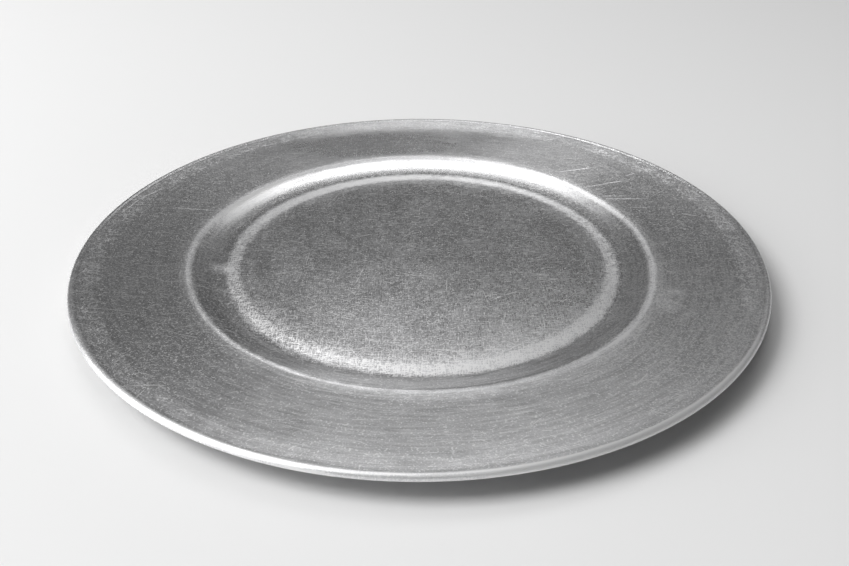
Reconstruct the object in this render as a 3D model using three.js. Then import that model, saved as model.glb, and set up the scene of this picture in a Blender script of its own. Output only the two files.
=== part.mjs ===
// A round charger plate: a shallow well inside a wide, nearly flat rim with a round edge, all one piece.
// Millimetres, +Z up. The origin is the centre of the circle that the foot ring stands on.
import * as THREE from 'three';

// Driving dimensions
const plateDiameter = 330;
const wall = 2.2;
const floorRadius = 95.2;
const coveRadius = 33;
const wallAngle = THREE.MathUtils.degToRad(21);
const wallRun = 2.4;
const shoulderRadius = 20;
const rimAngle = THREE.MathUtils.degToRad(3.4);
const beadRadius = 1.6;
const beadFillet = 0.8;
const footRadius = 92;
const footWidth = 3.2;
const footHeight = 3.4;
const footTipRound = 0.7;
const footRootFillet = 0.8;

// Fineness of the faceted solid
const turnSteps = 120;
const coveSteps = 4;
const shoulderSteps = 4;
const beadSteps = 10;
const filletSteps = 2;

const downwards = -Math.PI / 2;
const upwards = Math.PI / 2;
const outwards = 0;
const inwards = Math.PI;

// Points on a circle of the radial section, from one angle to the other, both ends included
function arc(centre, radius, from, to, steps) {
  return Array.from({ length: steps + 1 }, (_, i) => {
    const angle = THREE.MathUtils.lerp(from, to, i / steps);
    return new THREE.Vector2(
      centre.x + radius * Math.cos(angle),
      centre.y + radius * Math.sin(angle),
    );
  });
}

function along(point, angle, distance) {
  return new THREE.Vector2(
    point.x + distance * Math.cos(angle),
    point.y + distance * Math.sin(angle),
  );
}

// Centres that the upper and the lower surface share, so that the wall keeps its thickness
function sectionCentres() {
  const floorTop = footHeight + wall;
  const cove = new THREE.Vector2(floorRadius, floorTop + coveRadius);
  const wallFoot = along(cove, downwards + wallAngle, coveRadius);
  const wallHead = along(wallFoot, wallAngle, wallRun / Math.cos(wallAngle));
  const shoulder = along(wallHead, downwards + wallAngle, shoulderRadius);
  const rimStart = along(shoulder, upwards + rimAngle, shoulderRadius - wall / 2);
  const beadCentreRadius = plateDiameter / 2 - beadRadius;
  const rimLength = (beadCentreRadius - rimStart.x) / Math.cos(rimAngle);
  return { floorTop, cove, shoulder, bead: along(rimStart, rimAngle, rimLength) };
}

// The round edge bead, with the fillets that run it into the rim below and above
function beadOutline(centre) {
  const filletCentreHeight = wall / 2 + beadFillet;
  const reach = beadRadius + beadFillet;
  const lean = Math.asin(filletCentreHeight / reach);
  const below = along(centre, rimAngle + inwards + lean, reach);
  const above = along(centre, rimAngle + inwards - lean, reach);
  return [
    ...arc(below, beadFillet, rimAngle + upwards, rimAngle + lean, filletSteps),
    ...arc(centre, beadRadius, rimAngle - inwards + lean, rimAngle + inwards - lean, beadSteps)
      .slice(1, -1),
    ...arc(above, beadFillet, rimAngle - lean, rimAngle + downwards, filletSteps),
  ];
}

// The foot ring's section, from its root on the inside, round the tip, to its root on the outside
function footOutline() {
  const inner = footRadius - footWidth / 2;
  const outer = footRadius + footWidth / 2;
  const rootHeight = footHeight - footRootFillet;
  const corner = (x, y) => new THREE.Vector2(x, y);
  return [
    ...arc(corner(inner - footRootFillet, rootHeight), footRootFillet, upwards, outwards, filletSteps),
    ...arc(corner(inner + footTipRound, footTipRound), footTipRound, inwards, inwards + upwards, filletSteps),
    ...arc(corner(outer - footTipRound, footTipRound), footTipRound, downwards, outwards, filletSteps),
    ...arc(corner(outer + footRootFillet, rootHeight), footRootFillet, inwards, upwards, filletSteps),
  ];
}

// The closed half section: out along the underside, round the bead and back over the top
function plateSection() {
  const { floorTop, cove, shoulder, bead } = sectionCentres();
  const coveEnd = downwards + wallAngle;
  const shoulderFoot = upwards + wallAngle;
  const shoulderHead = upwards + rimAngle;
  return [
    new THREE.Vector2(0, footHeight),
    ...footOutline(),
    ...arc(cove, coveRadius + wall, downwards, coveEnd, coveSteps),
    ...arc(shoulder, shoulderRadius - wall, shoulderFoot, shoulderHead, shoulderSteps),
    ...beadOutline(bead),
    ...arc(shoulder, shoulderRadius, shoulderHead, shoulderFoot, shoulderSteps),
    ...arc(cove, coveRadius, coveEnd, downwards, coveSteps),
    new THREE.Vector2(0, floorTop),
  ];
}

function chargerPlate() {
  const finish = new THREE.MeshStandardMaterial({
    name: 'silver_finish',
    color: 0xa8a8aa,
    metalness: 1,
    roughness: 0.36,
  });
  const plate = new THREE.Mesh(new THREE.LatheGeometry(plateSection(), turnSteps), finish);
  plate.name = 'charger_plate';
  plate.rotation.x = Math.PI / 2;
  return plate;
}

const model = new THREE.Group();
model.add(chargerPlate());

export default model;
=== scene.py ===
"""A worn silver charger plate on a pale studio floor, seen from above its front edge."""

import math

import bpy
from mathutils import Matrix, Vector


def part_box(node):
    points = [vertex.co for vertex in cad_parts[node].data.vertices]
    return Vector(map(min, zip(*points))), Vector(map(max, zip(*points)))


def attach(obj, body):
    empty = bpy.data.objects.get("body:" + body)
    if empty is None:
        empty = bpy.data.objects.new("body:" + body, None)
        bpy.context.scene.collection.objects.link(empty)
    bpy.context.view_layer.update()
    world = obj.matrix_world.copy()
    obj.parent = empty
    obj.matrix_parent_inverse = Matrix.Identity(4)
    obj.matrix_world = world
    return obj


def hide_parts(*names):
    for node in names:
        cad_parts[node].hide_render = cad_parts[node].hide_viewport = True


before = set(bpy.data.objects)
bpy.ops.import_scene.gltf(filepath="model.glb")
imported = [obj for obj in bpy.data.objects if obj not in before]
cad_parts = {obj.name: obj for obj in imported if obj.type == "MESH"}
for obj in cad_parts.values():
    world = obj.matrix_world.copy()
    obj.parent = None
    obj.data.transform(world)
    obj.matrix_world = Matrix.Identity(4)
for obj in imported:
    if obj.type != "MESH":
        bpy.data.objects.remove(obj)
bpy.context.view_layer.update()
_, plate_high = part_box("charger_plate")

MM = 0.001

# Section of the plate, in metres
WALL = 2.2 * MM
FLOOR_RADIUS = 95.2 * MM
COVE_RADIUS = 33 * MM
WALL_ANGLE = math.radians(21)
WALL_RUN = 2.4 * MM
SHOULDER_RADIUS = 20 * MM
BEAD_RADIUS = 1.6 * MM
BEAD_FILLET = 0.8 * MM
FOOT_RADIUS = 92 * MM
FOOT_WIDTH = 3.2 * MM
FOOT_HEIGHT = 3.4 * MM
FOOT_TIP_ROUND = 0.7 * MM
FOOT_ROOT_FILLET = 0.8 * MM
FLOOR_TOP = FOOT_HEIGHT + WALL

# Fineness of the mesh
TURN_STEPS = 480
ARC_STEPS = 10
BEAD_STEPS = 22
RIM_STEPS = 22
FLOOR_STEPS = 26

RIGHT_ANGLE = math.pi / 2


def polar(centre, radius, angle):
    return centre + radius * Vector((math.cos(angle), math.sin(angle)))


def arc(centre, radius, start, end, steps):
    """Points on a circle of the section, both ends included."""
    return [polar(centre, radius, start + (end - start) * i / steps) for i in range(steps + 1)]


def straight(start, end, steps):
    """Points strictly between two points of the section."""
    return [start.lerp(end, i / steps) for i in range(1, steps)]


def section_centres():
    """Centres of the cove, the shoulder and the edge bead, and the slope of the rim between the last two."""
    cove = Vector((FLOOR_RADIUS, FLOOR_TOP + COVE_RADIUS))
    wall_foot = polar(cove, COVE_RADIUS, WALL_ANGLE - RIGHT_ANGLE)
    wall_head = polar(wall_foot, WALL_RUN / math.cos(WALL_ANGLE), WALL_ANGLE)
    shoulder = polar(wall_head, SHOULDER_RADIUS, WALL_ANGLE - RIGHT_ANGLE)
    bead = Vector((plate_high.x - BEAD_RADIUS, plate_high.z - BEAD_RADIUS))
    reach = bead - shoulder
    slope = math.atan2(reach.y, reach.x) - math.asin((SHOULDER_RADIUS - WALL / 2) / reach.length)
    return cove, shoulder, bead, slope


def foot_section():
    inner = FOOT_RADIUS - FOOT_WIDTH / 2
    outer = FOOT_RADIUS + FOOT_WIDTH / 2
    root = FOOT_HEIGHT - FOOT_ROOT_FILLET
    steps = ARC_STEPS // 2
    inner_root = Vector((inner - FOOT_ROOT_FILLET, root))
    outer_root = Vector((outer + FOOT_ROOT_FILLET, root))
    inner_tip = Vector((inner + FOOT_TIP_ROUND, FOOT_TIP_ROUND))
    outer_tip = Vector((outer - FOOT_TIP_ROUND, FOOT_TIP_ROUND))
    return [
        *arc(inner_root, FOOT_ROOT_FILLET, RIGHT_ANGLE, 0, steps),
        *arc(inner_tip, FOOT_TIP_ROUND, 2 * RIGHT_ANGLE, 3 * RIGHT_ANGLE, steps),
        *arc(outer_tip, FOOT_TIP_ROUND, -RIGHT_ANGLE, 0, steps),
        *arc(outer_root, FOOT_ROOT_FILLET, 2 * RIGHT_ANGLE, RIGHT_ANGLE, steps),
    ]


def bead_section(centre, slope):
    fillet_height = WALL / 2 + BEAD_FILLET
    reach = BEAD_RADIUS + BEAD_FILLET
    lean = math.asin(fillet_height / reach)
    inwards = slope + math.pi
    below = polar(centre, reach, inwards + lean)
    above = polar(centre, reach, inwards - lean)
    steps = ARC_STEPS // 2
    bead = arc(centre, BEAD_RADIUS, inwards - 2 * math.pi + lean, inwards - lean, BEAD_STEPS)
    return [
        *arc(below, BEAD_FILLET, slope + RIGHT_ANGLE, slope + lean, steps),
        *bead[1:-1],
        *arc(above, BEAD_FILLET, slope - lean, slope - RIGHT_ANGLE, steps),
    ]


def plate_section():
    """Underside from the middle outwards, and the face from the edge back to the middle."""
    cove, shoulder, bead, slope = section_centres()
    cove_start = -RIGHT_ANGLE
    cove_end = WALL_ANGLE - RIGHT_ANGLE
    shoulder_start = WALL_ANGLE + RIGHT_ANGLE
    shoulder_end = slope + RIGHT_ANGLE
    foot = foot_section()
    edge = bead_section(bead, slope)
    under_middle = Vector((0, FOOT_HEIGHT))
    under_shoulder = arc(shoulder, SHOULDER_RADIUS - WALL, shoulder_start, shoulder_end, ARC_STEPS)
    face_shoulder = arc(shoulder, SHOULDER_RADIUS, shoulder_end, shoulder_start, ARC_STEPS)
    face_cove = arc(cove, COVE_RADIUS, cove_end, cove_start, 2 * ARC_STEPS)
    face_middle = Vector((0, FLOOR_TOP))
    underside = [
        *straight(under_middle, foot[0], FLOOR_STEPS // 2),
        *foot,
        *arc(cove, COVE_RADIUS + WALL, cove_start, cove_end, ARC_STEPS),
        *under_shoulder,
        *straight(under_shoulder[-1], edge[0], RIM_STEPS // 2),
    ]
    face = [
        *straight(edge[-1], face_shoulder[0], RIM_STEPS),
        *face_shoulder,
        *face_cove,
        *straight(face_cove[-1], face_middle, FLOOR_STEPS),
    ]
    return underside, edge, face


def turned_mesh(name, materials):
    """Turns the section round Z. Faces take the material of the stretch they lie in."""
    underside, edge, face = plate_section()
    points = [*underside, *edge, *face]
    turns = [
        (math.cos(2 * math.pi * i / TURN_STEPS), math.sin(2 * math.pi * i / TURN_STEPS))
        for i in range(TURN_STEPS)
    ]
    verts = [(p.x * c, p.x * s, p.y) for p in points for c, s in turns]
    under_pole = len(verts)
    face_pole = under_pole + 1
    verts += [(0, 0, FOOT_HEIGHT), (0, 0, FLOOR_TOP)]
    last_ring = (len(points) - 1) * TURN_STEPS
    stretches = [
        stretch_material(points[ring], points[ring + 1], ring < len(underside), materials)
        for ring in range(len(points) - 1)
    ]
    faces = []
    slots = []
    for i in range(TURN_STEPS):
        j = (i + 1) % TURN_STEPS
        faces.append((under_pole, j, i))
        slots.append(materials["under"])
        for ring, material in enumerate(stretches):
            low = ring * TURN_STEPS
            high = low + TURN_STEPS
            faces.append((low + i, low + j, high + j, high + i))
            slots.append(material)
        faces.append((last_ring + i, last_ring + j, face_pole))
        slots.append(materials["middle"])
    mesh = bpy.data.meshes.new(name)
    mesh.from_pydata(verts, [], faces)
    kinds = list(dict.fromkeys(materials.values()))
    for material in kinds:
        mesh.materials.append(material)
    for polygon, material in zip(mesh.polygons, slots):
        polygon.material_index = kinds.index(material)
        polygon.use_smooth = True
    mesh.update()
    return mesh


# The rubbed finish of the floor gives way to the turned finish of the rim in steps.
# Each step: name, outer radius, and how far highlights are drawn out by the turning.
FLOOR_FINISH = (
    ("middle", 72 * MM, 0.15),
    ("outer_floor", 86 * MM, 0.32),
    ("floor_edge", 99 * MM, 0.5),
)


def stretch_material(start, end, is_under, materials):
    if is_under:
        return materials["under"]
    middle = (start.x + end.x) / 2
    for place, radius, _ in FLOOR_FINISH:
        if middle < radius:
            return materials[place]
    return materials["rim"]


class Graph:
    """Short names for the shader nodes of one material. Lengths are in millimetres."""

    def __init__(self, name):
        self.material = bpy.data.materials.new(name)
        self.material.use_nodes = True
        self.tree = self.material.node_tree
        self.tree.nodes.clear()
        place = self.node("ShaderNodeTexCoord").outputs["Object"]
        self.position = self.vector("MULTIPLY", place, (1 / MM,) * 3)
        split = self.node("ShaderNodeSeparateXYZ")
        self.link(self.position, split.inputs[0])
        self.x, self.y, self.z = split.outputs
        self.radius = self.length(self.x, self.y)
        # From -1 at the left to 1 at the right, and from -1 at the front to 1 at the back
        self.direction_x = self.math("DIVIDE", self.x, self.radius)
        self.direction_y = self.math("DIVIDE", self.y, self.radius)

    def node(self, kind, **settings):
        node = self.tree.nodes.new(kind)
        for key, value in settings.items():
            setattr(node, key, value)
        return node

    def link(self, value, socket):
        if isinstance(value, bpy.types.NodeSocket):
            self.tree.links.new(value, socket)
        else:
            socket.default_value = value

    def math(self, operation, *values, clamp=False):
        node = self.node("ShaderNodeMath", operation=operation, use_clamp=clamp)
        for value, socket in zip(values, node.inputs):
            self.link(value, socket)
        return node.outputs[0]

    def vector(self, operation, *values):
        node = self.node("ShaderNodeVectorMath", operation=operation)
        for value, socket in zip(values, node.inputs):
            self.link(value, socket)
        return node.outputs[0]

    def combine(self, x, y, z):
        node = self.node("ShaderNodeCombineXYZ")
        for value, socket in zip((x, y, z), node.inputs):
            self.link(value, socket)
        return node.outputs[0]

    def chain(self, operation, values):
        result = values[0]
        for value in values[1:]:
            result = self.math(operation, result, value)
        return result

    def add(self, *values):
        return self.chain("ADD", values)

    def times(self, *values):
        return self.chain("MULTIPLY", values)

    def most(self, *values):
        return self.chain("MAXIMUM", values)

    def length(self, x, y):
        return self.math("SQRT", self.add(self.math("POWER", x, 2), self.math("POWER", y, 2)))

    def spread(self, value, amount):
        """Noise as a plus or minus about nought."""
        return self.times(self.add(value, -0.5), amount)

    def range(self, value, low, high, to_low=0.0, to_high=1.0):
        """Passes softly from to_low to to_high while the value goes from low to high."""
        node = self.node("ShaderNodeMapRange", interpolation_type="SMOOTHSTEP")
        self.link(value, node.inputs["Value"])
        self.link(low, node.inputs["From Min"])
        self.link(high, node.inputs["From Max"])
        self.link(to_low, node.inputs["To Min"])
        self.link(to_high, node.inputs["To Max"])
        return node.outputs["Result"]

    def band(self, value, start, full, fading, gone, outer=None):
        """Rises to 1 between start and full, and falls between fading and gone.

        Where an outer value is given, the fall is measured by that one.
        """
        rise = self.range(value, start, full)
        fall = self.range(value if outer is None else outer, fading, gone, 1.0, 0.0)
        return self.times(rise, fall)

    def scaled(self, factor):
        node = self.node("ShaderNodeVectorMath", operation="SCALE")
        self.link(self.position, node.inputs[0])
        node.inputs["Scale"].default_value = factor
        return node.outputs[0]

    def noise(self, vector, detail, roughness=0.55, distortion=0.0):
        node = self.node("ShaderNodeTexNoise", noise_dimensions="3D")
        self.link(vector, node.inputs["Vector"])
        node.inputs["Scale"].default_value = 1.0
        node.inputs["Detail"].default_value = detail
        node.inputs["Roughness"].default_value = roughness
        node.inputs["Distortion"].default_value = distortion
        return node.outputs["Fac"]

    def cloud(self, size, offset=0.0, detail=3.0, distortion=0.0):
        """Noise whose features are about size millimetres across."""
        moved = self.vector("ADD", self.scaled(1 / size), (offset, -offset, offset))
        return self.noise(moved, detail, distortion=distortion)

    def specks(self, size, threshold, offset):
        """Separate dots about size millimetres across, fewer the higher the threshold."""
        return self.range(self.cloud(size, offset, detail=0.0), threshold, threshold + 0.06)

    def squiggles(self, size, width, offset):
        """Thin wandering lines, about size millimetres apart."""
        field = self.cloud(size, offset, detail=1.0, distortion=0.8)
        return self.range(self.math("ABSOLUTE", self.add(field, -0.5)), width / 2, width, 1.0, 0.0)

    def turned(self, length, width, detail=3.0, distortion=0.0, offset=0.0):
        """Noise in streaks that run round the axis: length and width in millimetres."""
        reach = STREAK_RADIUS / length
        vector = self.combine(
            self.times(self.direction_x, reach),
            self.times(self.direction_y, reach),
            self.add(self.times(self.radius, 1 / width), offset),
        )
        return self.noise(vector, detail, distortion=distortion)

    def brushed(self, angle, length, width, detail=1.0, offset=0.0):
        """Noise in straight streaks at an angle in degrees: length and width in millimetres."""
        c = math.cos(math.radians(angle))
        s = math.sin(math.radians(angle))
        along = self.add(self.times(self.x, c / length), self.times(self.y, s / length))
        across = self.add(self.times(self.x, -s / width), self.times(self.y, c / width))
        return self.noise(self.combine(along, across, angle + offset), detail, roughness=0.5)

    def strokes(self, angle, length, width, threshold, offset):
        """Separate short strokes at an angle in degrees, fewer the higher the threshold."""
        streaks = self.brushed(angle, length, width, 0.0, offset)
        return self.range(streaks, threshold, threshold + 0.08)

    def scratches(self, cell, length, width, offset, share, bend=0.0, lean=360):
        """Separate scratches in some cells of a random tiling, turned at random within lean degrees."""
        moved = self.vector("ADD", self.scaled(1 / cell), (offset, 2 * offset, 0))
        cells = self.node("ShaderNodeTexVoronoi", voronoi_dimensions="2D", feature="F1")
        self.link(moved, cells.inputs["Vector"])
        cells.inputs["Scale"].default_value = 1.0
        cells.inputs["Randomness"].default_value = 1.0
        local = self.node("ShaderNodeSeparateXYZ")
        self.link(self.vector("SUBTRACT", moved, cells.outputs["Position"]), local.inputs[0])
        local_x, local_y, _ = local.outputs
        chance = self.node("ShaderNodeSeparateColor")
        self.link(cells.outputs["Color"], chance.inputs[0])
        turn_chance, length_chance, strength_chance = chance.outputs
        angle = self.spread(turn_chance, math.radians(lean))
        c = self.math("COSINE", angle)
        s = self.math("SINE", angle)
        along = self.add(self.times(local_x, c), self.times(local_y, s))
        across = self.math("SUBTRACT", self.times(local_y, c), self.times(local_x, s))
        if bend:
            across = self.add(across, self.times(self.math("POWER", along, 2), bend))
        half_length = self.times(self.range(length_chance, 0, 1, 0.4, 1.0), length / cell / 2)
        half_width = width / cell / 2
        share_along = self.math("DIVIDE", self.math("ABSOLUTE", along), half_length)
        inside = self.math("SUBTRACT", 1.0, share_along, clamp=True)
        line = self.range(self.math("ABSOLUTE", across), 0.35 * half_width, half_width, 1.0, 0.0)
        strength = self.range(strength_chance, 1 - share, 1.0)
        return self.times(line, self.range(inside, 0, 0.35), strength)

    def single_scratch(self, start, end, width):
        """One straight scratch between two places on the face, which thins out at its end."""
        run = Vector(end) - Vector(start)
        from_x = self.add(self.x, -start[0])
        from_y = self.add(self.y, -start[1])
        share = self.add(self.times(from_x, run.x), self.times(from_y, run.y))
        share = self.times(share, 1 / run.length_squared)
        across = self.add(self.times(from_x, -run.y), self.times(from_y, run.x))
        across = self.times(self.math("ABSOLUTE", across), 1 / run.length)
        line = self.range(across, 0.3 * width, width, 1.0, 0.0)
        return self.times(line, self.band(share, -0.06, 0.06, 0.75, 1.25))

    def single_scratches(self, ends, width):
        return self.most(*(self.single_scratch(start, end, width) for start, end in ends))

    def patch(self, place, size, soft):
        """A round patch on the face, 1 in the middle, with a ragged soft edge."""
        across = self.times(self.add(self.x, -place[0]), 1 / size[0])
        up = self.times(self.add(self.y, -place[1]), 1 / size[1])
        uneven = self.spread(self.cloud(min(size) / 3, place[0]), 0.8)
        ragged = self.add(self.length(across, up), uneven)
        return self.range(ragged, 1 - soft, 1 + soft, 1.0, 0.0)

    def marks(self, seed):
        """Short strokes, longer scratches and dots that catch the light."""
        return self.most(
            self.times(self.scratches(1.9, 2.1, 0.5, seed, 0.8), 0.55),
            self.times(self.scratches(4.0, 5.2, 0.5, seed + 11, 0.6, bend=0.15, lean=90), 0.85),
            self.scratches(9, 12, 0.45, seed + 41, 0.7, bend=0.1, lean=50),
            self.scratches(17, 19, 0.45, seed + 23, 0.4, bend=0.1),
            self.scratches(24, 30, 0.45, seed + 61, 0.7, bend=0.1, lean=34),
            self.times(self.specks(0.9, 0.67, seed + 31), 0.85),
        )

    def finish(self, shade, roughness, height, depth, anisotropy):
        """Silver of the given shade, roughness and relief, brushed round the axis."""
        shader = self.node("ShaderNodeBsdfPrincipled")
        grey = self.node("ShaderNodeCombineColor")
        for socket, silver in zip(grey.inputs, SILVER):
            level = self.math("MAXIMUM", self.times(shade, silver), DARKEST)
            self.link(self.math("MINIMUM", level, PALEST), socket)
        self.link(grey.outputs[0], shader.inputs["Base Color"])
        limited = self.math("MINIMUM", self.math("MAXIMUM", roughness, SMOOTHEST), DULLEST)
        self.link(limited, shader.inputs["Roughness"])
        shader.inputs["Metallic"].default_value = 1.0
        shader.inputs["Anisotropic"].default_value = anisotropy
        shader.inputs["Anisotropic Rotation"].default_value = 0.25
        tangent = self.node("ShaderNodeTangent", direction_type="RADIAL", axis="Z")
        self.link(tangent.outputs[0], shader.inputs["Tangent"])
        bump = self.node("ShaderNodeBump")
        self.link(height, bump.inputs["Height"])
        bump.inputs["Strength"].default_value = 1.0
        bump.inputs["Distance"].default_value = depth
        self.link(bump.outputs[0], shader.inputs["Normal"])
        out = self.node("ShaderNodeOutputMaterial")
        self.link(shader.outputs[0], out.inputs["Surface"])
        return self.material


# Colour of the bare metal, and the limits of its shade, its roughness and the wear on the floor
SILVER = (0.74, 0.74, 0.748)
DARKEST = 0.36
PALEST = 0.97
SMOOTHEST = 0.265
DULLEST = 0.7
MOST_FLOOR_WEAR = 1.35

# How far highlights are drawn out by the turning on the rim and on the underside
RIM_TURNED_SHARE = 0.62
UNDER_TURNED_SHARE = 0.6

# Depth of the finish on each part, in metres
RIM_RELIEF = 0.02 * MM
FLOOR_RELIEF = 0.015 * MM
UNDER_RELIEF = 0.01 * MM

# From here on, places and lengths on the face are in millimetres from the middle.
# The lengths of turned streaks are meant at this radius.
STREAK_RADIUS = 140

# Scratches, each from one end to the other
SCRATCH_WIDTH = 0.5
LONG_SCRATCHES = (
    ((80, 90), (100, 94)),
    ((91, 70), (113, 76)),
    ((116, 82), (121, 84)),
    ((101, 59), (112, 58)),
    ((101, 56), (120, 54)),
    ((113, 45), (122, 44)),
    ((137, 35), (144, 32)),
    ((-130, 42.7), (-108, 41.7)),
    ((-155.5, 34.3), (-150.3, 50.7)),
    ((-150.3, 50.7), (-142, 63.1)),
)
FAINT_SCRATCHES = (
    ((-96.2, -91.5), (-84.9, -89)),
    ((-82.5, -123.7), (-74.7, -119)),
    ((-66.7, -114.2), (-59, -111.6)),
)
FLOOR_SCRATCHES = (
    ((42.2, -14.1), (61.8, -17.4)),
    ((34.1, -38.9), (47.4, -30.9)),
    ((-6.6, -78.1), (5.1, -69.5)),
    ((-30, -24.8), (-27.4, -11.7)),
)
SCUFF_WIDTH = 0.7
SCUFF = (
    ((-97.5, -12), (-88, -12.6)),
    ((-96, -9), (-91, -15.5)),
    ((-95.5, -15.5), (-90.5, -9.5)),
    ((-94, -17), (-93, -7)),
)

# Patches: the place, the half sizes and the softness of each
SCUFFED = ((-95, -11), (5, 4.5), 0.8)
BRUISES = (
    ((111, -51), (4, 6), 0.8),
    ((116, -41), (5, 4), 0.8),
)
FRONT_RIGHT = ((108, -78), (50, 52), 0.7)
# Paler and duller patch at the back right: wear, and partly a painted highlight
BACK_RIGHT_RUB_AND_HIGHLIGHT = ((76, 104), (44, 30), 0.6)
SPARED = ((-32, 128), (52, 15), 0.6)
FLOOR_FRONT = ((-6, -76), (64, 28), 0.7)
FLOOR_LEFT = ((-44, -30), (46, 40), 0.8)

# Rings: the radii at which each starts, is full, fades and is gone
SHOULDER_RING = (110.2, 112.6, 113.2, 115.6)
OUTSIDE_SHOULDER = (112.0, 113.5, 113.5, 122.0)
FLOOR_RING = (87.6, 91.6, 93.2, 97.0)
FLOOR_HALO = (78, 91, 94.0, 97.5)
WALL_FRONT = (97.0, 105.0, 109.5, 111.5)
WALL_PAINTED_SHADE = (100.0, 103.0, 108.5, 110.5)
WALL_BACK = (96.0, 102.0, 109.5, 111.5)
WALL_PAINTED_HIGHLIGHT = (101.0, 106.0, 111.0, 113.0)
NEAR_WALL = (95.0, 101.0, 117.0, 125.0)
RUBBED_EDGE = (151.5, 155.5, 160.5, 161.5)
SQUIGGLED_EDGE = (149.5, 154.5, 160.6, 161.4)

# Outermost stretches: the radii at which each starts and is full
# The outer rim at the back is paler there, partly a painted highlight
BACK_EDGE_HIGHLIGHT = (143, 154)
BEAD_FACE = (161.4, 163.0)

# The ring and the halo on the floor lie about this place
FLOOR_RING_MIDDLE = (1.4, 0.3)


def shoulder_wear_and_highlight(g, ragged, lopsided, sideways):
    """The pale ring on the shoulder, which isn't quite round, and the dull band outside it: worn metal, and
    partly a painted highlight, as both are moved and made paler or fainter by side to follow where the
    shoulder catches the light.
    """
    front_left = g.times(g.range(g.direction_y, 0.2, -0.2), lopsided)
    # Partly painted highlight: the ring moves inwards at the back, the sides and the front left, and ring and
    # band change strength by side
    inwards = g.add(
        g.times(g.range(g.direction_y, 0.2, 0.6), 1.5),
        g.times(front_left, 3.0),
        g.range(sideways, 0.7, 1.0),
    )
    shifted = g.add(ragged, inwards)
    ring = g.times(
        g.band(shifted, *SHOULDER_RING),
        g.range(g.cloud(6, offset=5), 0.25, 0.55, 0.7, 1.1),
        g.add(1.05, g.times(front_left, -0.6)),
    )
    outside = g.times(
        g.band(shifted, *OUTSIDE_SHOULDER),
        g.add(g.range(g.direction_y, 0.3, -0.3, 0.30, 0.44), g.times(front_left, -0.25)),
    )
    return g.add(ring, outside)


def edge_wear(g, ragged):
    """The rubbed band beside the bead, and the fine squiggles in it."""
    worn = g.range(g.cloud(9, offset=9), 0.36, 0.62, 0.5, 1.0)
    band = g.times(g.band(ragged, *RUBBED_EDGE), worn)
    squiggles = g.times(
        g.squiggles(3.4, 0.04, 71),
        g.band(g.radius, *SQUIGGLED_EDGE),
        worn,
        g.range(g.direction_y, -0.9, -0.2, 0.25, 1.0),
    )
    return band, squiggles


def rim_patches_and_highlights(g):
    """Wear in single places of the rim, and the one place that was spared. The paler, duller stretch at the
    back edge and the patch at the back right are partly painted highlights.
    """
    # Partly painted highlight: the outer rim at the back is paler and duller
    back_edge_highlight = g.times(g.range(g.direction_y, 0.80, 0.99), g.range(g.radius, *BACK_EDGE_HIGHLIGHT))
    return g.add(
        g.times(g.most(*(g.patch(*bruise) for bruise in BRUISES)), 0.5),
        g.patch(*SCUFFED),
        g.times(g.patch(*FRONT_RIGHT), 0.16),
        g.times(back_edge_highlight, 0.5),
        g.times(g.patch(*BACK_RIGHT_RUB_AND_HIGHLIGHT), 0.22),
        g.times(g.patch(*SPARED), -0.2),
    )


def wall_wear_and_painted_light(g, sideways):
    """Of the wall round the well: its wear in front, and what is added to shade and roughness. The shade
    holds a painted shade at the front left and a painted highlight towards the back at either side, stronger
    at the left.
    """
    front = g.times(g.band(g.radius, *WALL_FRONT), g.range(g.direction_y, -0.82, -0.98))
    # Painted shade: the wall at the front left is darker
    left = g.times(
        g.band(g.radius, *WALL_PAINTED_SHADE),
        g.range(g.direction_x, -0.55, -0.8),
        g.range(g.direction_y, -0.05, -0.35),
    )
    back = g.times(g.band(g.radius, *WALL_BACK), g.range(g.direction_y, 0.4, 0.8))
    # Painted highlight: the wall towards the back at either side is paler, more so at the left
    sides = g.times(
        g.band(g.radius, *WALL_PAINTED_HIGHLIGHT),
        g.range(g.direction_y, 0.2, 0.45),
        g.range(sideways, 0.6, 0.8),
    )
    highlight_more_at_left = g.add(0.30, g.times(g.direction_x, -0.14))
    shade = g.add(g.times(left, -0.20), g.times(sides, highlight_more_at_left))
    roughness = g.add(g.times(sides, 0.04), g.times(back, -0.05))
    return front, shade, roughness


def bead_painted_light_and_roughness(g, lopsided):
    """What is added to shade and roughness on the edge bead: a painted highlight that makes it paler and
    duller in front, more so at the front right, and a painted shade that makes it darker at the back.
    """
    face = g.range(g.radius, *BEAD_FACE)
    front = g.times(face, g.range(g.direction_y, 0.1, -0.75, 0.1, 1.0))
    front_right = g.times(front, g.range(lopsided, 0.15, -0.3), g.range(g.direction_y, -0.35, -0.8))
    back = g.times(face, g.range(g.direction_y, 0.1, 0.7))
    # Painted highlight in front and at the front right, painted shade at the back
    shade = g.add(g.times(front, 0.30), g.times(front_right, 0.20), g.times(back, -0.42))
    roughness = g.add(g.times(front, 0.18), g.times(front_right, 0.16))
    return shade, roughness


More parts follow.
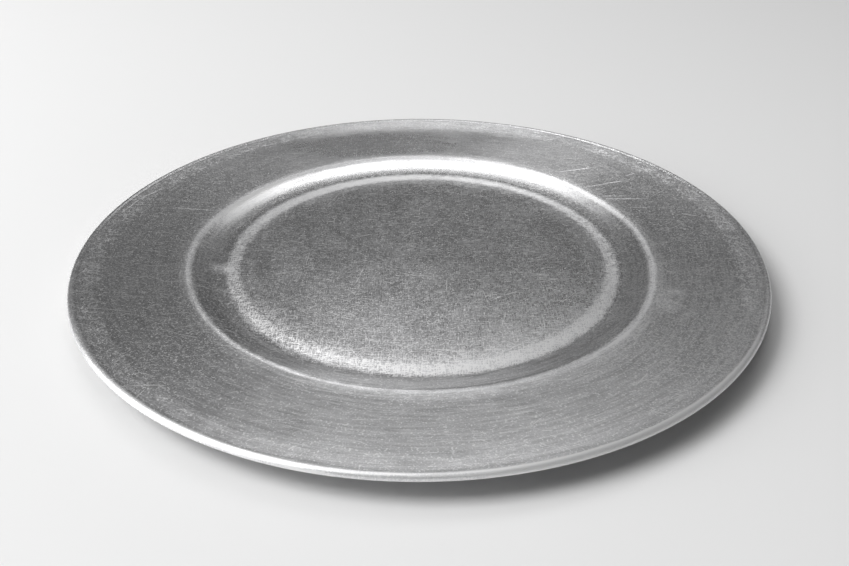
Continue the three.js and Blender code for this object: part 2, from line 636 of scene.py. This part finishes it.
def silver_rim():
    g = Graph("turned_silver_rim")
    # Above nought at the front left and the back right, below it at the other two corners
    lopsided = g.times(g.direction_x, g.direction_y)
    sideways = g.math("ABSOLUTE", g.direction_x)
    peaks = g.range(g.cloud(0.7, offset=7, detail=1.0), 0.50, 0.68)
    fine = g.turned(14, 0.45)
    wavy = g.turned(20, 1.5, detail=2.0, distortion=0.6, offset=40)
    lines = g.turned(60, 0.7, detail=1.0, offset=90)
    patchy = g.cloud(26)
    mottle = g.cloud(5, offset=13)
    coarse_grain = g.cloud(1.5, offset=19, detail=1.0)
    marks = g.marks(3)
    clear = g.single_scratches(LONG_SCRATCHES, SCRATCH_WIDTH)
    faint = g.single_scratches(FAINT_SCRATCHES, SCRATCH_WIDTH)
    long = g.most(clear, g.times(faint, 0.3))
    ragged = g.add(g.radius, g.spread(g.cloud(3.5, offset=3), 1.2))
    edge, squiggles = edge_wear(g, ragged)
    worn_wall, wall_painted_light, wall_roughness = wall_wear_and_painted_light(g, sideways)
    bead_painted_light, bead_roughness = bead_painted_light_and_roughness(g, lopsided)
    near_wall = g.band(g.radius, *NEAR_WALL)
    contrast = g.range(sideways, 0.45, 0.95, 0.65, 2.1)
    streaky = g.range(g.direction_y, -0.3, -0.85, 1.0, 1.55)
    # The wear also holds painted highlights: on the shoulder, at the back edge and at the back right
    wear = g.add(
        shoulder_wear_and_highlight(g, ragged, lopsided, sideways),
        g.times(worn_wall, 0.6),
        g.times(edge, 0.14),
        rim_patches_and_highlights(g),
    )
    shade = g.add(
        0.89,
        g.times(g.spread(fine, 0.34), streaky),
        g.times(g.spread(wavy, 0.42), streaky),
        g.times(g.spread(lines, 0.35), near_wall),
        g.spread(patchy, 0.20),
        g.spread(mottle, 0.16),
        g.times(peaks, contrast, 0.20),
        g.times(g.spread(coarse_grain, 0.22), contrast),
        g.times(wear, 0.14),
        # Painted shade and painted highlight on the wall
        wall_painted_light,
        # Painted highlight and painted shade on the bead
        bead_painted_light,
        g.times(marks, contrast, 0.60),
        g.times(long, 0.22),
        g.times(squiggles, 0.25),
    )
    roughness = g.add(
        0.292,
        g.spread(fine, 0.01),
        g.spread(wavy, 0.02),
        g.spread(patchy, 0.03),
        g.spread(mottle, 0.03),
        g.times(peaks, 0.03),
        g.times(wear, 0.22),
        wall_roughness,
        bead_roughness,
        g.times(marks, contrast, 0.055),
        g.times(long, 0.16),
        g.times(squiggles, 0.12),
    )
    height = g.add(
        g.times(fine, 0.25),
        g.times(wavy, 0.6),
        g.times(lines, near_wall, 0.5),
        g.times(peaks, 0.1),
        g.times(marks, -0.1),
        g.times(long, -0.2),
    )
    return g.finish(shade, roughness, height, RIM_RELIEF, RIM_TURNED_SHARE)


def floor_rings(g, level, mottle):
    """The pale ring of wear, which is wider in front, and the duller halo inside it."""
    off_centre = g.length(g.add(g.x, -FLOOR_RING_MIDDLE[0]), g.add(g.y, -FLOOR_RING_MIDDLE[1]))
    lopsided = g.times(g.direction_x, g.direction_y)
    at_front = g.range(g.direction_y, 0.2, -0.2)
    ragged = g.add(off_centre, g.spread(g.cloud(3.2, offset=3), 1.8), g.spread(level, 1.2))
    wider = g.add(
        g.times(g.range(g.direction_y, -0.2, -0.9), 2.8),
        g.times(g.range(g.direction_y, 0.0, 0.3), g.add(0.7, g.times(lopsided, -1.6))),
    )
    ring = g.times(
        g.band(ragged, *FLOOR_RING, outer=g.math("SUBTRACT", ragged, wider)),
        g.range(g.cloud(4.2, offset=21), 0.3, 0.58, 0.75, 1.0),
        g.add(1.06, g.times(lopsided, -0.4), g.times(lopsided, at_front, -0.7)),
    )
    cloudy = g.add(off_centre, g.spread(g.cloud(7, offset=43), 8), g.spread(mottle, 6))
    halo = g.band(cloudy, *FLOOR_HALO, outer=off_centre)
    return ring, halo


def silver_floor(name, turned_share):
    g = Graph(name + "_silver")
    fine = g.turned(10, 0.5)
    patchy = g.cloud(20, offset=2)
    mottle = g.cloud(4.5, offset=15)
    peaks = g.range(g.cloud(0.7, offset=11, detail=1.0), 0.50, 0.68)
    upright = g.brushed(90, 5, 0.42)
    level = g.brushed(0, 3.2, 0.62)
    slanting = g.add(g.brushed(64, 6, 0.5), g.brushed(118, 6, 0.5), -0.5)
    uprights_show = g.range(g.add(g.y, g.spread(g.cloud(30, offset=51), 80)), 30, -50, 0.35, 1.0)
    strokes = g.most(
        g.times(g.strokes(88, 4.5, 0.45, 0.62, 5), uprights_show),
        g.strokes(3, 3.2, 0.7, 0.60, 9),
        g.times(g.strokes(52, 6, 0.5, 0.66, 17), 0.6),
    )
    dark_strokes = g.most(g.strokes(92, 5, 0.5, 0.66, 25), g.strokes(1, 4, 0.8, 0.66, 29))
    marks = g.marks(5)
    broken = g.range(g.cloud(2.4, offset=27, detail=1.0), 0.35, 0.55, 0.3, 1.0)
    long = g.times(g.single_scratches(FLOOR_SCRATCHES, SCRATCH_WIDTH), broken)
    ring, halo = floor_rings(g, level, mottle)
    # The ring is even at the back and broken up by scratches everywhere else
    scratchy = g.add(g.times(peaks, 0.5), g.spread(level, 1.8), g.spread(upright, 1.4), g.times(strokes, 0.5))
    scratchy = g.range(scratchy, -0.2, 0.6, 0.4, 1.3)
    scratched = g.range(g.direction_y, 0.8, 0.1)
    scratchy = g.add(g.times(scratched, scratchy), g.math("SUBTRACT", 1.0, scratched))
    wear = g.add(
        g.times(ring, scratchy),
        g.times(halo, 0.32, scratchy),
        g.times(g.patch(*FLOOR_FRONT), 0.2),
        g.times(g.patch(*FLOOR_LEFT), 0.2),
        g.times(g.patch(*SCUFFED), 0.6),
        g.times(g.single_scratches(SCUFF, SCUFF_WIDTH), 0.3),
    )
    wear = g.math("MINIMUM", wear, MOST_FLOOR_WEAR)
    shade = g.add(
        0.785,
        g.times(g.spread(upright, 0.34), uprights_show),
        g.spread(level, 0.30),
        g.spread(slanting, 0.16),
        g.spread(patchy, 0.22),
        g.spread(mottle, 0.13),
        g.times(peaks, 0.26),
        g.times(strokes, 0.24),
        g.times(dark_strokes, -0.08),
        g.times(marks, 0.62),
        g.times(long, 0.26),
        g.times(wear, 0.32),
    )
    roughness = g.add(
        0.274,
        g.times(g.spread(upright, 0.08), uprights_show),
        g.spread(level, 0.06),
        g.spread(patchy, 0.10),
        g.spread(mottle, 0.06),
        g.times(peaks, 0.03),
        g.times(strokes, 0.04),
        g.times(dark_strokes, -0.03),
        g.times(marks, 0.09),
        g.times(long, 0.10),
        g.times(wear, 0.19),
    )
    height = g.add(
        g.times(fine, 0.2),
        g.times(upright, 0.3),
        g.times(level, 0.4),
        g.times(peaks, 0.1),
        g.times(marks, -0.1),
    )
    return g.finish(shade, roughness, height, FLOOR_RELIEF, turned_share)


def silver_underside():
    g = Graph("plain_silver_underside")
    fine = g.turned(30, 0.6)
    patchy = g.cloud(30, offset=4)
    grain = g.cloud(0.9, offset=7, detail=1.0)
    marks = g.scratches(8.0, 6.0, 0.4, 41, 0.3)
    foot = g.range(g.z, 0.7, 0.1)
    shade = g.add(
        0.95,
        g.spread(fine, 0.16),
        g.spread(patchy, 0.10),
        g.spread(grain, 0.20),
        g.times(marks, 0.2),
        g.times(foot, 0.2),
    )
    roughness = g.add(0.36, g.spread(fine, 0.12), g.times(marks, 0.1), g.times(foot, 0.12))
    height = g.add(g.times(fine, 0.4), g.times(marks, -0.5))
    return g.finish(shade, roughness, height, UNDER_RELIEF, UNDER_TURNED_SHARE)


def build_plate():
    materials = {"under": silver_underside(), "rim": silver_rim()}
    for place, _, turned_share in FLOOR_FINISH:
        materials[place] = silver_floor(place, turned_share)
    mesh = turned_mesh("plate_body", materials)
    plate = bpy.data.objects.new("plate_body", mesh)
    bpy.context.scene.collection.objects.link(plate)
    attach(plate, "root")
    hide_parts("charger_plate")


# Studio, in metres
FLOOR_FLAT = 3.0
FLOOR_RISE_RADIUS = 9.0
FLOOR_RISE_ANGLE = math.radians(30)
FLOOR_RINGS = 24
FLOOR_TURNS = 96
FLOOR_COLOUR = (0.78, 0.78, 0.78, 1)
WORLD_LEVEL = 0.127

# Each lamp: name, centre and size in metres, brightness, and whether it is turned towards the plate
# instead of straight down
LAMPS = (
    ("left_softbox", (-1.8, -0.44, 1.95), (1.9, 1.2), 7.8, False),
    ("back_softbox", (-0.12, 1.28, 2.1), (1.2, 0.9), 2.6, False),
    ("top_softbox", (0.0, -0.15, 2.3), (0.8, 1.3), 1.6, False),
    ("left_panel", (-1.92, -0.3, 1.08), (2.0, 2.0), 2.4, True),
    ("right_panel", (0.72, 1.8, 2.1), (0.75, 0.75), 1.1, True),
)


def build_floor():
    """A flat floor whose far edge turns up all round, so that every view ends on it."""
    material = bpy.data.materials.new("pale_floor")
    material.use_nodes = True
    shader = material.node_tree.nodes["Principled BSDF"]
    shader.inputs["Base Color"].default_value = FLOOR_COLOUR
    shader.inputs["Roughness"].default_value = 0.9
    shader.inputs["Specular IOR Level"].default_value = 0.2
    profile = [(0.0, 0.0), (FLOOR_FLAT, 0.0)]
    for i in range(1, FLOOR_RINGS + 1):
        angle = FLOOR_RISE_ANGLE * i / FLOOR_RINGS
        radius = FLOOR_FLAT + FLOOR_RISE_RADIUS * math.sin(angle)
        profile.append((radius, FLOOR_RISE_RADIUS * (1 - math.cos(angle))))
    verts = [(0, 0, 0)]
    for radius, height in profile[1:]:
        for i in range(FLOOR_TURNS):
            angle = 2 * math.pi * i / FLOOR_TURNS
            verts.append((radius * math.cos(angle), radius * math.sin(angle), height))
    faces = []
    for i in range(FLOOR_TURNS):
        j = (i + 1) % FLOOR_TURNS
        faces.append((0, 1 + i, 1 + j))
        for ring in range(len(profile) - 2):
            low = 1 + ring * FLOOR_TURNS
            high = low + FLOOR_TURNS
            faces.append((low + i, high + i, high + j, low + j))
    mesh = bpy.data.meshes.new("studio_floor")
    mesh.from_pydata(verts, [], faces)
    for polygon in mesh.polygons:
        polygon.use_smooth = True
    mesh.materials.append(material)
    floor = bpy.data.objects.new("studio_floor", mesh)
    bpy.context.scene.collection.objects.link(floor)


def build_light():
    world = bpy.data.worlds.new("studio")
    bpy.context.scene.world = world
    world.use_nodes = True
    background = world.node_tree.nodes["Background"]
    background.inputs["Color"].default_value = (WORLD_LEVEL, WORLD_LEVEL, WORLD_LEVEL, 1)
    for name, centre, size, brightness, turned in LAMPS:
        lamp = bpy.data.lights.new(name, "AREA")
        lamp.shape = "RECTANGLE"
        lamp.size, lamp.size_y = size
        lamp.energy = brightness * math.pi * size[0] * size[1]
        softbox = bpy.data.objects.new(name, lamp)
        softbox.location = centre
        if turned:
            softbox.rotation_euler = (-Vector(centre)).to_track_quat("-Z", "Y").to_euler()
        bpy.context.scene.collection.objects.link(softbox)


# Camera, found from the outline of the plate and its rings in the photograph
IMAGE_WIDTH = 849
FOCAL_PIXELS = 950
SENSOR_WIDTH = 36.0
CAMERA_DISTANCE = 470.1 * MM
CAMERA_ELEVATION = math.radians(29.78)
CAMERA_PITCH = math.radians(31.35)
CAMERA_SIDE = 2.35 * MM

# Distances between which the camera shows things, in metres
NEAREST_SEEN = 0.01
FARTHEST_SEEN = 100


def build_camera():
    lens = bpy.data.cameras.new("camera")
    lens.sensor_fit = "HORIZONTAL"
    lens.sensor_width = SENSOR_WIDTH
    lens.lens = FOCAL_PIXELS / IMAGE_WIDTH * SENSOR_WIDTH
    camera = bpy.data.objects.new("camera", lens)
    camera.location = (
        CAMERA_SIDE,
        -CAMERA_DISTANCE * math.cos(CAMERA_ELEVATION),
        FLOOR_TOP + CAMERA_DISTANCE * math.sin(CAMERA_ELEVATION),
    )
    camera.rotation_euler = (RIGHT_ANGLE - CAMERA_PITCH, 0, 0)
    lens.clip_start = NEAREST_SEEN
    lens.clip_end = FARTHEST_SEEN
    bpy.context.scene.collection.objects.link(camera)
    bpy.context.scene.camera = camera


build_camera()
build_plate()
build_floor()
build_light()
bpy.context.scene.view_settings.view_transform = "Standard"
